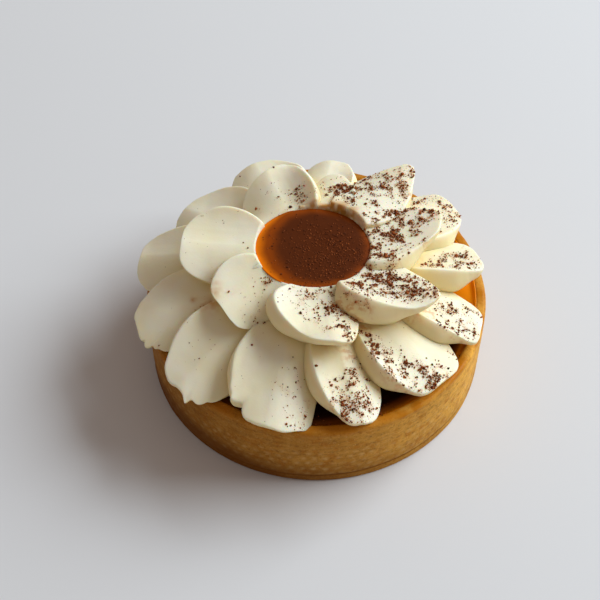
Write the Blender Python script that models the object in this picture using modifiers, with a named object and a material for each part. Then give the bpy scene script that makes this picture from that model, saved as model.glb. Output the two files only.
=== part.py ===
"""Banoffee tart: a shortcrust shell filled with toffee, a two-ring flower of piped cream
petals on top, and a round pool of caramel in the middle of the flower.

Axes: +Z up, -Y is the front, the origin is the centre of the tart's underside.
Lengths in the tables below are millimetres and angles are degrees; MM turns them to metres.
"""

import math
from dataclasses import dataclass

import bmesh
import bpy

MM = 0.001
GAP = 0.3               # clearance between pieces that touch

# Shell: baked in an 80 mm tart ring, 20 mm tall
RIM_RADIUS = 40.0
BASE_RADIUS = 39.5
SHELL_HEIGHT = 20.0
WALL = 2.6
FLOOR = 3.0
RIM_ROUND = 0.9
BASE_ROUND = 0.6

# Toffee filling, poured almost level with the rim
FILLING_DROP = 0.7      # how far its edge lies under the rim
MENISCUS = 0.3          # how far it climbs the wall
MENISCUS_WIDTH = 2.0

# Flower of cream, piped a little off the shell's centre
FLOWER_X = -1.3
FLOWER_Y = 0.0

# Caramel pool
POOL_X = -0.9
POOL_Y = 0.5
POOL_RADIUS = 12.6
POOL_TOP = 36.4
POOL_DEPTH = 3.0
POOL_SLOPE = 0.35       # its edge lies this far under its middle
POOL_EDGE_WIDTH = 2.0   # over this width
POOL_FLARE = 3.0        # how far the cream leans back from the pool, over POOL_FLARE_RISE
POOL_FLARE_RISE = 8.0

# Cream mound that carries the petals and the pool
MOUND_TOP_RADIUS = 13.5
MOUND_WAIST_RADIUS = 17.0
MOUND_WAIST_Z = 27.0
MOUND_FOOT_RADIUS = 20.0
MOUND_FOOT_HEIGHT = 2.0

SEGMENTS = 64           # round the shell and filling
POOL_SEGMENTS = 44      # round the pool and mound

# Mesh density of one petal: rings on its face and down its wall, as shares of each
PETAL_SIDES = 24
FACE_RINGS = (0.84, 0.5)
WALL_STEPS = (0.12, 0.45, 0.8, 1.0)

# Form shared by all petals
WIDEST_AT = 0.75            # share of the length where a petal is widest
MIDDLE_AT = 0.55            # share of the length where the rings of its face centre
CREASE_SHARPNESS = 2.2      # exponent of the climb across the face to the crease
DROP_CURVE = 1.6            # exponent of the fall to the low side
DROP_FULL_AT = 0.6          # share of the length where that fall is whole; it is none at the root
CREASE_END = 5.0            # exponent that ends the crease at the outer margin
BULGE_END = 0.9             # share of the wall's height where the swelling ends
ROOT_TUCK = 0.6             # how far the foot stands in under the inner end
THINNEST = 1.0              # least thickness at the margin

# How much of a petal's bulge shows round its outline, by turn
BULGE_KEYS = ((0.0, 0.1), (30.0, 0.3), (65.0, 1.0), (100.0, 1.0), (145.0, 0.1), (270.0, 0.1))

WELD = 0.02 * MM        # points closer than this are one
SLIVER = 0.01 * MM
SHARP_ANGLE = 40.0      # edges sharper than this are shaded sharp

CREAM = (0.87, 0.83, 0.70)
TOFFEE = (0.42, 0.16, 0.03)
CARAMEL = (0.30, 0.09, 0.02)
SHORTCRUST = (0.55, 0.30, 0.10)


@dataclass
class Petal:
    """One piped petal. Its axis points away from the flower's centre at angle, measured
    counter-clockwise from +X as seen from above. The crease runs along its clockwise side.
    """

    angle: float
    reach: float            # outer end, from the flower's centre
    clockwise: float        # half width on the clockwise side
    counter: float          # half width on the other side
    rise: float             # how far the crease stands over the middle of the face
    lip: float              # height of the outer margin
    drop: float = 5.0       # how far the low side lies under the middle
    root: float = 12.0      # inner end, from the flower's centre
    head: float = 31.5      # height of the inner end
    foot: float = 19.7      # height of the underside at the inner end
    foot_rise: float = 0.0  # how far the underside climbs towards the outer end
    side_tuck: float = 1.4  # how far the foot stands in under the sides
    tip_tuck: float = 5.0   # and under the outer margin
    slant: float = 0.0      # how much farther the clockwise side reaches, for each mm of width
    taper: float = 0.5      # width at the inner end, as a share of the full width
    bulge: float = 1.8      # how far the wall swells past the crease
    sag: float = 0.3        # how far the middle of the face hangs under a straight line
    droop: float = 1.5      # exponent of the fall from head to lip: above 1 the outer end hangs
    point: float = 0.0      # how much narrower the outer end is, as a share
    near: float = 0.75      # exponent of the outline's clockwise side: lower is squarer
    far: float = 0.5        # and of its other side


def outer_petal(angle, reach, clockwise, counter, rise=3.0, lip=23.5, **more):
    """A petal of the lower ring, lying on the filling."""
    return Petal(angle, reach, clockwise, counter, rise, lip, **more)


def inner_petal(angle, reach, clockwise, counter, rise=3.2, lip=36.5, **more):
    """A petal of the upper ring, lying on the lower one and facing the pool."""
    form = dict(drop=4.0, root=9.0, head=36.6, foot=27.0, foot_rise=5.5, tip_tuck=3.6,
                side_tuck=2.4, taper=0.85, sag=0.6, droop=1.0)
    form.update(more)
    return Petal(angle, reach, clockwise, counter, rise, lip, **form)


OUTER_RING = (
    outer_petal(196, 42.2, 7.5, 9.0),
    outer_petal(224, 42.5, 8.8, 9.5),
    outer_petal(255, 41.2, 10.3, 9.8),
    outer_petal(285, 40.8, 7.8, 8.8, bulge=2.4, point=0.25),
    outer_petal(313, 40.6, 7.9, 12.0, drop=3.0, slant=0.05, bulge=2.4, far=0.28),
    outer_petal(340, 41.4, 5.4, 9.6, rise=3.4, drop=4.0, slant=0.15, bulge=2.6, near=0.45, far=0.38),
    outer_petal(8, 39.6, 6.6, 7.8, lip=27.5, drop=4.0, slant=0.3, bulge=2.0, near=0.45),
    outer_petal(34, 40.4, 10.6, 9.2, lip=27.0, near=0.6),
    outer_petal(59, 39.6, 8.0, 8.0, lip=23.0),
    outer_petal(82, 38.7, 6.6, 7.8, lip=24.5),
    outer_petal(110, 39.6, 9.0, 9.2, lip=25.0),
    outer_petal(142, 38.4, 10.0, 8.0),
    outer_petal(168, 41.4, 7.5, 9.5),
)

INNER_RING = (
    inner_petal(175, 29.8, 9.2, 8.6),
    inner_petal(214, 25.2, 7.2, 8.6, rise=3.0, lip=34.5, far=0.3),
    inner_petal(280, 27.1, 11.3, 7.6, rise=2.8, lip=37.0, drop=3.0,
                taper=1.1, slant=-0.28, bulge=2.2, point=0.2),
    inner_petal(330, 31.2, 9.0, 7.2, rise=4.4, lip=37.0, drop=1.5, side_tuck=1.2,
                taper=1.1, slant=-0.35, bulge=3.0, point=0.3),
    inner_petal(12, 30.5, 8.4, 9.8, rise=1.6, lip=37.5, drop=1.2,
                taper=1.1, slant=-0.5, bulge=3.2, point=0.45),
    inner_petal(46, 34.8, 9.6, 10.0, rise=-2.0, lip=37.0, head=39.0,
                slant=0.1, taper=0.55, bulge=1.0, point=0.7, near=0.9),
    inner_petal(74, 24.3, 7.2, 8.0, rise=2.2, lip=36.0, head=38.0, point=0.5),
    inner_petal(112, 27.2, 7.2, 9.6, rise=3.4, lip=35.2, drop=5.5, slant=0.25, taper=1.1, near=0.6),
)


def clear_scene():
    for item in list(bpy.data.objects):
        bpy.data.objects.remove(item, do_unlink=True)


def new_collection(name):
    collection = bpy.data.collections.new(name)
    bpy.context.scene.collection.children.link(collection)
    return collection


def new_material(name, color, roughness):
    material = bpy.data.materials.new(name)
    material.use_nodes = True
    shader = material.node_tree.nodes["Principled BSDF"]
    shader.inputs["Base Color"].default_value = (*color, 1.0)
    shader.inputs["Roughness"].default_value = roughness
    shader.inputs["Metallic"].default_value = 0.0
    return material


def new_object(name, mesh, collection, material):
    item = bpy.data.objects.new(name, mesh)
    collection.objects.link(item)
    if material is not None:
        mesh.materials.append(material)
    return item


def turned_object(name, profile, segments, centre, collection, material=None):
    """A solid of revolution from (radius, height) pairs that start and end on the axis."""
    mesh = bpy.data.meshes.new(name)
    points = [(radius * MM, 0.0, height * MM) for radius, height in profile]
    edges = [(index, index + 1) for index in range(len(points) - 1)]
    mesh.from_pydata(points, edges, [])
    item = new_object(name, mesh, collection, material)
    item.location = (centre[0] * MM, centre[1] * MM, 0.0)
    screw = item.modifiers.new("Turn", "SCREW")
    screw.steps = segments
    screw.render_steps = segments
    screw.use_merge_vertices = True
    screw.merge_threshold = SLIVER
    return item


def arc(centre_radius, centre_height, radius, start, end, steps):
    """Points of an arc in a turned profile, from start to end degrees."""
    points = []
    for step in range(steps + 1):
        turn = math.radians(start + (end - start) * step / steps)
        across = centre_radius + radius * math.cos(turn)
        up = centre_height + radius * math.sin(turn)
        points.append((across, up))
    return points


def shell_profile(grow=0.0):
    inner = RIM_RADIUS - WALL
    inner_floor = BASE_RADIUS - WALL
    rounding = RIM_ROUND + grow
    profile = [(0.0, FLOOR + grow), (inner_floor - grow, FLOOR + grow)]
    top = SHELL_HEIGHT - RIM_ROUND
    profile += arc(inner + RIM_ROUND, top, rounding, 180, 90, 2)
    profile += arc(RIM_RADIUS - RIM_ROUND, top, rounding, 90, 0, 2)
    profile += arc(BASE_RADIUS - BASE_ROUND, BASE_ROUND, BASE_ROUND + grow, 0, -90, 2)
    profile.append((0.0, -grow))
    return profile


def filling_profile():
    top = SHELL_HEIGHT - FILLING_DROP
    radius = RIM_RADIUS - WALL - GAP
    floor_radius = BASE_RADIUS - WALL - GAP
    return [
        (0.0, top - MENISCUS),
        (radius - MENISCUS_WIDTH, top - MENISCUS),
        (radius, top),
        (floor_radius, FLOOR + GAP),
        (0.0, FLOOR + GAP),
    ]


def pool_profile():
    bottom = POOL_TOP - POOL_DEPTH
    return [
        (0.0, POOL_TOP),
        (POOL_RADIUS - POOL_EDGE_WIDTH, POOL_TOP),
        (POOL_RADIUS, POOL_TOP - POOL_SLOPE),
        (POOL_RADIUS, bottom),
        (0.0, bottom),
    ]


def mound_profile(grow=0.0):
    """The mound stands on the filling; grow swells it for the cut that it makes."""
    top = POOL_TOP - POOL_DEPTH - GAP + grow
    foot = SHELL_HEIGHT - FILLING_DROP - MENISCUS + GAP - grow
    return [
        (0.0, top),
        (MOUND_TOP_RADIUS + grow, top),
        (MOUND_WAIST_RADIUS + grow, MOUND_WAIST_Z),
        (MOUND_FOOT_RADIUS + grow, foot + MOUND_FOOT_HEIGHT),
        (MOUND_FOOT_RADIUS + grow, foot),
        (0.0, foot),
    ]


def well_profile():
    """The room that the cream leaves for the pool, open above it."""
    radius = POOL_RADIUS + GAP
    bottom = POOL_TOP - POOL_DEPTH - GAP
    edge = POOL_TOP - POOL_SLOPE
    top = edge + POOL_FLARE_RISE
    return [
        (0.0, top),
        (radius + POOL_FLARE, top),
        (radius, edge),
        (radius, bottom),
        (0.0, bottom),
    ]


def ease(share):
    share = min(max(share, 0.0), 1.0)
    return share * share * (3.0 - 2.0 * share)


def round_keys(turn, keys):
    """Value at turn degrees, eased between (degrees, value) keys that go once round."""
    closed = list(keys) + [(keys[0][0] + 360.0, keys[0][1])]
    for (start, before), (end, after) in zip(closed, closed[1:]):
        if start <= turn <= end:
            return before + (after - before) * ease((turn - start) / (end - start))
    return keys[0][1]


def plan_point(petal, turn, swell=0.0):
    """Outline of a petal in its own plan axes: outwards, and towards the clockwise side.

    turn is 0 at the inner end, 90 on the clockwise side, 180 at the outer end.
    """
    across = math.sin(math.radians(turn))
    along = (1.0 - math.cos(math.radians(turn))) / 2.0
    if across >= 0.0:
        width = (petal.clockwise + swell) * across ** petal.near
    else:
        width = -(petal.counter + swell) * (-across) ** petal.far
    fill = math.sin(min(along / WIDEST_AT, 1.0) * math.pi / 2.0)
    width *= (petal.taper + (1.0 - petal.taper) * fill) * (1.0 - petal.point * along ** 2)
    out = petal.root - swell + (petal.reach - petal.root + 2.0 * swell) * along
    out += petal.slant * width * along
    return out, width


def face_height(petal, out, side):
    """Height of the upper face: level with the axis, climbing to the crease on the clockwise
    side and falling away on the other.
    """
    along = (out - petal.root) / (petal.reach - petal.root)
    along = min(max(along, 0.0), 1.0)
    height = petal.head + (petal.lip - petal.head) * along ** petal.droop
    height -= petal.sag * math.sin(math.pi * along)
    if side >= 0.0:
        climb = (side / petal.clockwise) ** CREASE_SHARPNESS
        return height + petal.rise * climb * (1.0 - along ** CREASE_END)
    fall = (-side / petal.counter) ** DROP_CURVE
    return height - petal.drop * fall * ease(along / DROP_FULL_AT)


def wall_swell(petal, turn, step):
    """How far the wall stands out past the rim, a share step of the way down it."""
    belly = math.sin(math.pi * min(step / BULGE_END, 1.0))
    return petal.bulge * round_keys(turn, BULGE_KEYS) * belly


def wall_tuck(petal, turn, step):
    """How far the wall draws in towards its foot, a share step of the way down it."""
    side = petal.side_tuck
    tip = petal.tip_tuck
    keys = ((0.0, ROOT_TUCK), (70.0, side), (105.0, side), (155.0, tip), (210.0, tip), (250.0, side))
    return round_keys(turn, keys) * step ** 2


def place(petal, out, side, height):
    """Plan axes of a petal to the tart's axes, in metres."""
    turn = math.radians(petal.angle)
    x = FLOWER_X + out * math.cos(turn) + side * math.sin(turn)
    y = FLOWER_Y + out * math.sin(turn) - side * math.cos(turn)
    return x * MM, y * MM, height * MM


def petal_mesh(name, petal, grow=0.0):
    """A closed loft: rings from the middle of the face out to the crease, then down the
    wall to the foot. grow swells it for the cut that it makes in its neighbours.
    """
    turns = [360.0 * index / PETAL_SIDES for index in range(PETAL_SIDES)]
    middle_out = petal.root + MIDDLE_AT * (petal.reach - petal.root)
    foot_z = petal.foot - grow

    rim = [plan_point(petal, turn, grow) for turn in turns]
    rings = []
    for share in (*reversed(FACE_RINGS), 1.0):
        ring = []
        for rim_out, rim_side in rim:
            out = middle_out + (rim_out - middle_out) * share
            side = rim_side * share
            ring.append((out, side, face_height(petal, out, side) + grow))
        rings.append(ring)

    heights = [height for _, _, height in rings[-1]]
    for step in WALL_STEPS:
        ring = []
        for turn, height in zip(turns, heights):
            swell = wall_swell(petal, turn, step) - wall_tuck(petal, turn, step)
            out, side = plan_point(petal, turn, grow + swell)
            along = (out - petal.root) / (petal.reach - petal.root)
            foot = min(foot_z + petal.foot_rise * along ** 2, height - THINNEST)
            ring.append((out, side, height + (foot - height) * step))
        rings.append(ring)

    body = bmesh.new()
    loops = []
    for ring in rings:
        loops.append([body.verts.new(place(petal, *point)) for point in ring])
    middle_z = face_height(petal, middle_out, 0.0) + grow
    middle_foot = foot_z + petal.foot_rise * MIDDLE_AT ** 2
    top = body.verts.new(place(petal, middle_out, 0.0, middle_z))
    bottom = body.verts.new(place(petal, middle_out, 0.0, middle_foot))
    for inside, outside in zip(loops, loops[1:]):
        for index in range(PETAL_SIDES):
            after = (index + 1) % PETAL_SIDES
            body.faces.new((inside[index], inside[after], outside[after], outside[index]))
    for index in range(PETAL_SIDES):
        after = (index + 1) % PETAL_SIDES
        body.faces.new((top, loops[0][after], loops[0][index]))
        body.faces.new((bottom, loops[-1][index], loops[-1][after]))
    bmesh.ops.recalc_face_normals(body, faces=body.faces)
    bmesh.ops.triangulate(body, faces=body.faces)
    mesh = bpy.data.meshes.new(name)
    body.to_mesh(mesh)
    body.free()
    return mesh


def mark_cutter(cutter):
    cutter.hide_render = True
    cutter.display_type = "WIRE"


def new_cutter(name, mesh, collection):
    cutter = new_object(name, mesh, collection, None)
    mark_cutter(cutter)
    return cutter


def subtract(item, cutter):
    cut = item.modifiers.new("Cut " + cutter.name, "BOOLEAN")
    cut.operation = "DIFFERENCE"
    cut.solver = "EXACT"
    cut.object = cutter


def faces_touching(face):
    """Neighbours of a face; an edge where two bodies only touch is not crossed."""
    for edge in face.edges:
        if edge.is_manifold:
            yield from edge.link_faces


def keep_largest_body(mesh):
    """Drop the loose scraps that a cut leaves."""
    body = bmesh.new()
    body.from_mesh(mesh)
    bmesh.ops.remove_doubles(body, verts=body.verts, dist=WELD)
    bmesh.ops.dissolve_degenerate(body, edges=body.edges, dist=SLIVER)
    bmesh.ops.triangulate(body, faces=body.faces)
    waiting = set(body.faces)
    islands = []
    while waiting:
        island = {waiting.pop()}
        edge_of_island = list(island)
        while edge_of_island:
            for near in faces_touching(edge_of_island.pop()):
                if near in waiting:
                    waiting.discard(near)
                    island.add(near)
                    edge_of_island.append(near)
        islands.append(island)
    islands.sort(key=lambda island: sum(face.calc_area() for face in island))
    for island in islands[:-1]:
        bmesh.ops.delete(body, geom=list(island), context="FACES")
    body.to_mesh(mesh)
    body.free()


def apply_cuts(item):
    """Replace an object's mesh by the result of its modifiers, as one body."""
    evaluated = item.evaluated_get(bpy.context.evaluated_depsgraph_get())
    mesh = bpy.data.meshes.new_from_object(evaluated)
    item.modifiers.clear()
    item.data = mesh
    keep_largest_body(mesh)
    mesh.shade_smooth()
    mesh.set_sharp_from_angle(angle=math.radians(SHARP_ANGLE))


def add_ring(prefix, petals, collection, material, cutters):
    """Petals of one ring and their swollen twins, each cut by the two that lap over it."""
    items = []
    twins = []
    for number, petal in enumerate(petals, start=1):
        name = f"{prefix}_{number:02d}"
        items.append(new_object(name, petal_mesh(name, petal), collection, material))
        twins.append(new_cutter(f"cut_{name}", petal_mesh(f"cut_{name}", petal, GAP), cutters))
    for number, item in enumerate(items):
        subtract(item, twins[(number + 1) % len(items)])
        subtract(item, twins[(number + 2) % len(items)])
    return items, twins


def build():
    clear_scene()
    parts = new_collection("banoffee_tart")
    cutters = new_collection("cutters")
    cream = new_material("cream", CREAM, 0.45)
    toffee = new_material("toffee", TOFFEE, 0.2)
    caramel = new_material("caramel", CARAMEL, 0.12)
    shortcrust = new_material("shortcrust", SHORTCRUST, 0.7)

    centre = (0.0, 0.0)
    flower = (FLOWER_X, FLOWER_Y)
    pool = (POOL_X, POOL_Y)
    turned_object("shell", shell_profile(), SEGMENTS, centre, parts, shortcrust)
    turned_object("filling", filling_profile(), SEGMENTS, centre, parts, toffee)
    turned_object("mound", mound_profile(), POOL_SEGMENTS, pool, parts, cream)
    turned_object("pool", pool_profile(), POOL_SEGMENTS, pool, parts, caramel)

    mound_cut = turned_object("cut_mound", mound_profile(GAP), POOL_SEGMENTS, pool, cutters)
    shell_cut = turned_object("cut_shell", shell_profile(GAP), SEGMENTS, centre, cutters)
    well_cut = turned_object("cut_well", well_profile(), POOL_SEGMENTS, pool, cutters)
    for cutter in (mound_cut, shell_cut, well_cut):
        mark_cutter(cutter)

    outer, outer_twins = add_ring("petal_outer", OUTER_RING, parts, cream, cutters)
    inner, _ = add_ring("petal_inner", INNER_RING, parts, cream, cutters)
    for item in outer + inner:
        subtract(item, mound_cut)
    for item in outer:
        subtract(item, shell_cut)
    for item in inner:
        subtract(item, well_cut)
        for twin in outer_twins:
            subtract(item, twin)
    for item in outer + inner:
        apply_cuts(item)


build()
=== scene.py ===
"""Looks of a banoffee tart: a shortcrust shell with toffee filling, two rings of piped cream
petals, a pool of caramel in the middle and a dusting of cocoa.

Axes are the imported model's: +Z up, -Y the front, the origin at the centre of the underside.
Lengths are millimetres and angles degrees; MM turns lengths to Blender's metres.
"""

import logging
import math
from dataclasses import dataclass, field
from enum import Enum

import bmesh
import bpy
import numpy as np
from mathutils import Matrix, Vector


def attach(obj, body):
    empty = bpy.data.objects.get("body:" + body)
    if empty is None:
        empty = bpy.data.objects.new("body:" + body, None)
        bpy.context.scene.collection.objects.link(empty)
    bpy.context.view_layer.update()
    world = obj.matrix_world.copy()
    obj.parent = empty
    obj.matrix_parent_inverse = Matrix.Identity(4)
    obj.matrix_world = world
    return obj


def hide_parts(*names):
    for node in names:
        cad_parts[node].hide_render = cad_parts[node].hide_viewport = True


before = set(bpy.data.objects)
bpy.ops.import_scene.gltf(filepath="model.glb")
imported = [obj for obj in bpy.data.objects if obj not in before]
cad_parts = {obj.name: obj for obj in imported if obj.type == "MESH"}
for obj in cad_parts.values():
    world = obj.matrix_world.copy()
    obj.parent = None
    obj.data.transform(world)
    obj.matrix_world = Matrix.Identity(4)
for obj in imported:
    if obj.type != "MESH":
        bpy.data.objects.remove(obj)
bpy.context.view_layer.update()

MM = 0.001
BODY = "root"
LOG = logging.getLogger("banoffee_tart")

Array = np.ndarray
Color = tuple[float, float, float]
Finish = bpy.types.Material
Piece = bpy.types.Object
Socket = bpy.types.NodeSocket


# ---- Small tools for shapes ----


@dataclass(frozen=True)
class SoftNoise:
    """A smooth random field with values from -1 to 1, the same on each run."""

    seed: int
    cells: int = 32

    def at(self, points: Array, size: float) -> Array:
        """Read the field.

        Args:
            points: Places to read it at, with x, y and z in the last axis.
            size: Distance between one bump and the next, in the points' unit.

        Returns:
            One value for each point.
        """
        shape = (self.cells,) * 3
        lattice = np.random.default_rng(self.seed).uniform(-1.0, 1.0, shape)
        places = points / size
        low = np.floor(places).astype(int)
        part = places - low
        part = part * part * (3.0 - 2.0 * part)
        total = np.zeros(points.shape[:-1])
        for corner in np.ndindex(2, 2, 2):
            index = (low + corner) % self.cells
            weight = np.where(np.array(corner) == 1, part, 1.0 - part).prod(axis=-1)
            total += weight * lattice[index[..., 0], index[..., 1], index[..., 2]]
        return total

    def round_at(self, turns: Array, waves: float) -> Array:
        """Read the field round a circle.

        Args:
            turns: Angles in degrees.
            waves: About how many bumps there are in one turn.

        Returns:
            One value for each angle, which closes after a full turn.
        """
        angle = np.radians(turns)
        reach = waves / (2.0 * math.pi)
        circle = np.stack([np.cos(angle) * reach, np.sin(angle) * reach, angle * 0.0], axis=-1)
        return self.at(circle + self.cells, 1.0)


def ease(share: Array) -> Array:
    """Smooth step from 0 to 1 as share goes from 0 to 1."""
    share = np.clip(share, 0.0, 1.0)
    return share * share * (3.0 - 2.0 * share)


def bell(distance: Array) -> Array:
    """1 at distance 0, falling smoothly to almost nothing at 2."""
    return np.exp(-np.square(distance))


def soft_min(first: Array, second: Array, width: float) -> Array:
    """The lower of two heights, rounded over width where they cross."""
    mix = np.clip(0.5 + 0.5 * (second - first) / width, 0.0, 1.0)
    return second + (first - second) * mix - width * mix * (1.0 - mix)


def around(angle: Array, centre: float, spread: float) -> Array:
    """Bell round one bearing.

    Args:
        angle: Bearings in degrees.
        centre: The bearing where the bell is 1.
        spread: Degrees at which it has fallen to about a third.

    Returns:
        The bell's value at each bearing.
    """
    apart = (angle - centre + 180.0) % 360.0 - 180.0
    return bell(apart / spread)


def polar(points: Array, x: float = 0.0, y: float = 0.0) -> tuple[Array, Array]:
    """Distance from an upright axis and bearing, in degrees, of each point.

    Args:
        points: Places, with x, y and z in the last axis.
        x: Where the axis is in plan.
        y: The same, from front to back.

    Returns:
        Distances and bearings.
    """
    across = points[..., 0] - x
    back = points[..., 1] - y
    return np.hypot(across, back), np.degrees(np.arctan2(back, across)) % 360.0


def round_keys(turns: Array, keys: tuple[tuple[float, float], ...]) -> Array:
    """Ease between keys that go once round.

    Args:
        turns: Angles in degrees, from 0 to 360.
        keys: Rows of (degrees, value), the first at 0.

    Returns:
        The value at each angle.
    """
    closed = [*keys, (keys[0][0] + 360.0, keys[0][1])]
    total = np.zeros_like(turns)
    for (start, before), (end, after) in zip(closed, closed[1:]):
        inside = (turns >= start) & (turns < end)
        total += inside * (before + (after - before) * ease((turns - start) / (end - start)))
    return total


@dataclass(frozen=True)
class OneSided:
    """A value that is greater on one side of the tart."""

    least: float
    extra: float            # what is added at the bearing
    bearing: float          # in degrees
    spread: float           # degrees from the bearing at which a third of the extra is left

    def at(self, angle: Array) -> Array:
        """The value at each bearing."""
        return self.least + self.extra * around(angle, self.bearing, self.spread)


@dataclass(frozen=True)
class Ripple:
    """Soft random relief of one size."""

    seed: int
    size: float
    depth: float

    def at(self, points: Array) -> Array:
        """Its height at each point."""
        return self.depth * SoftNoise(self.seed).at(points, self.size)


def arc(centre: tuple[float, float], radius: float, start: float, end: float, steps: int) -> Array:
    """Points of an arc in a turned profile.

    Args:
        centre: Its (radius, height) from the axis.
        radius: Its own radius.
        start: First angle, in degrees.
        end: Last angle.
        steps: Number of steps between them.

    Returns:
        Rows of (radius, height).
    """
    turns = np.radians(np.linspace(start, end, steps + 1))
    return np.stack([centre[0] + radius * np.cos(turns), centre[1] + radius * np.sin(turns)], axis=-1)


def line(start: tuple[float, float], end: tuple[float, float], steps: int) -> Array:
    """Points of a straight stretch in a turned profile, without its last point."""
    share = np.linspace(0.0, 1.0, steps, endpoint=False)[:, None]
    return np.array(start) * (1.0 - share) + np.array(end) * share


def turned_rings(profile: Array, sides: int) -> Array:
    """Rings of points from turning a profile about the tart's axis.

    Args:
        profile: Rows of (radius, height).
        sides: Points in each ring.

    Returns:
        An array of rings, points and x, y, z.
    """
    turns = np.radians(np.linspace(0.0, 360.0, sides, endpoint=False))
    radius, height = profile[:, :1], profile[:, 1:]
    return np.stack([radius * np.cos(turns), radius * np.sin(turns), height + turns * 0.0], axis=-1)


def ring_normals(rings: Array) -> Array:
    """Unit directions square to a surface of closed rings.

    Args:
        rings: The rings' points.

    Returns:
        A direction for each point, which points out where the rings run from the middle of
        the top, over the edge and down.
    """
    round_way = np.roll(rings, -1, axis=1) - np.roll(rings, 1, axis=1)
    down_way = np.gradient(rings, axis=0)
    normals = np.cross(down_way, round_way)
    return normals / np.maximum(np.linalg.norm(normals, axis=-1, keepdims=True), 1e-9)


@dataclass
class Surface:
    """A closed skin of rings of points, closed by a fan at each end, with named values."""

    rings: Array
    values: dict[str, Array] = field(default_factory=dict)

    def to_object(self, name: str, material: Finish) -> Piece:
        """Make the piece.

        Args:
            name: Its name in the scene.
            material: Its finish.

        Returns:
            The mesh object, in the scene.
        """
        rows, sides = self.rings.shape[:2]
        points = self.rings.reshape(-1, 3)
        ends = np.stack([self.rings[0].mean(axis=0), self.rings[-1].mean(axis=0)])
        index = np.arange(rows * sides).reshape(rows, sides)
        after = np.roll(index, -1, axis=1)
        quads = np.stack([index[:-1], index[1:], after[1:], after[:-1]], axis=-1).reshape(-1, 4)
        top = rows * sides
        faces = quads.tolist()
        faces += [[top, here, there] for here, there in zip(index[0].tolist(), after[0].tolist())]
        faces += [[top + 1, there, here] for here, there in zip(index[-1].tolist(), after[-1].tolist())]
        mesh = bpy.data.meshes.new(name)
        mesh.from_pydata((np.concatenate([points, ends]) * MM).tolist(), [], faces)
        for label, value in self.values.items():
            flat = value.reshape(-1)
            flat = np.concatenate([flat, [value[0].mean(), value[-1].mean()]])
            attribute = mesh.attributes.new(label, "FLOAT", "POINT")
            attribute.data.foreach_set("value", flat.astype(np.float32))
        return finished_object(name, mesh, material)


def placed(name: str, data: bpy.types.ID) -> Piece:
    """Put a mesh, lamp or camera in the scene as an object of its own.

    Args:
        name: The object's name.
        data: What it holds.

    Returns:
        The new object.
    """
    piece = bpy.data.objects.new(name, data)
    bpy.context.scene.collection.objects.link(piece)
    return piece


def finished_object(name: str, mesh: bpy.types.Mesh, material: Finish) -> Piece:
    """Turn a mesh's faces outwards, shade it smooth and put it in the scene.

    Args:
        name: The object's name.
        mesh: Its mesh, with its place in it.
        material: Its finish.

    Returns:
        The new object.
    """
    body = bmesh.new()
    body.from_mesh(mesh)
    bmesh.ops.recalc_face_normals(body, faces=body.faces)
    body.to_mesh(mesh)
    body.free()
    mesh.shade_smooth()
    mesh.materials.clear()
    mesh.materials.append(material)
    return placed(name, mesh)


def settle(piece: Piece, slot: str, *nodes: str) -> None:
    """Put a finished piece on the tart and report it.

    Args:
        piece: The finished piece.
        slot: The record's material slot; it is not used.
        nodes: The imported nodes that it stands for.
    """
    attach(piece, BODY)
    if nodes:
        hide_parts(*nodes)
    LOG.info("%s: %d faces, for %s", piece.name, len(piece.data.polygons), nodes or "no node")


# ---- Finishes ----


@dataclass(frozen=True)
class Cloud:
    """Cloudy patches in a finish."""

    size: float             # distance between patches, in millimetres
    detail: float           # number of finer layers
    roughness: float        # share of each finer layer
    low: float              # value of the cloud where a patch begins
    high: float             # and where it is whole
    strength: float = 1.0   # how much of a whole patch shows


class NodeGraph:
    """A node tree, with short methods for the nodes that finishes and sprinkling share."""

    def __init__(self, tree: bpy.types.NodeTree) -> None:
        """Work on this tree."""
        self.tree = tree

    def feed(self, socket: Socket, value: object) -> None:
        """Link an input to an output, or set its own value."""
        if isinstance(value, Socket):
            self.tree.links.new(value, socket)
        elif isinstance(value, tuple) and len(value) == 3 and socket.type == "RGBA":
            socket.default_value = (*value, 1.0)
        else:
            socket.default_value = value

    def node(self, kind: str, inputs: dict[object, object] | None = None,
             **settings: object) -> bpy.types.Node:
        """Add a node.

        Args:
            kind: Its Blender type.
            inputs: Links or values by the name or number of the node's input.
            settings: The node's own options.

        Returns:
            The new node.
        """
        made = self.tree.nodes.new(kind)
        for label, value in settings.items():
            setattr(made, label, value)
        for label, value in (inputs or {}).items():
            self.feed(made.inputs[label], value)
        return made

    def result(self, kind: str, inputs: dict[object, object] | None = None,
               **settings: object) -> Socket:
        """First output of a new node, which is added as node() says."""
        return self.node(kind, inputs, **settings).outputs[0]

    def math(self, operation: str, first: object, second: object = 0.0) -> Socket:
        """Result of a math node on two values or links."""
        return self.result("ShaderNodeMath", {0: first, 1: second}, operation=operation)


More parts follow.
